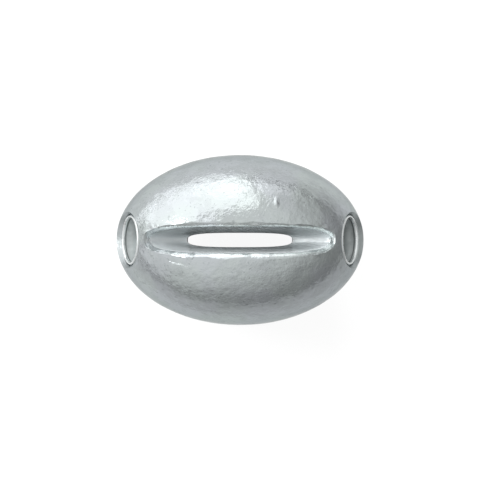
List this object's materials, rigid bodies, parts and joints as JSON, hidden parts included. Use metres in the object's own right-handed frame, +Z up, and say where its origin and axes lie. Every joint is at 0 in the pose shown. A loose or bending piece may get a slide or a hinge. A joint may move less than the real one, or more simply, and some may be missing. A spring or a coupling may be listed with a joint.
{
  "type": "fishing sinker",
  "caption": "Egg-shaped fishing sinker: cast body with a see-through lengthwise window and a flanged line eyelet pressed into each end.",
  "frame": {"origin": "centre of the egg-shaped body, which is the centre of the bounding box", "axes": "+X along the sinker from the left eyelet to the right one; +Z up through the window, towards the side that the eyelets lean to; +Y across the sinker"},
  "size_m": [0.0362, 0.025, 0.0244],
  "materials": {
    "cast_lead": "bright as-cast lead, satin, faintly mottled",
    "eyelet_metal": "nickel plate, satin from wear"
  },
  "bodies": {
    "root": {"sinker_body": "cast_lead", "left_eyelet": "eyelet_metal", "right_eyelet": "eyelet_metal"}
  },
  "joints": []
}
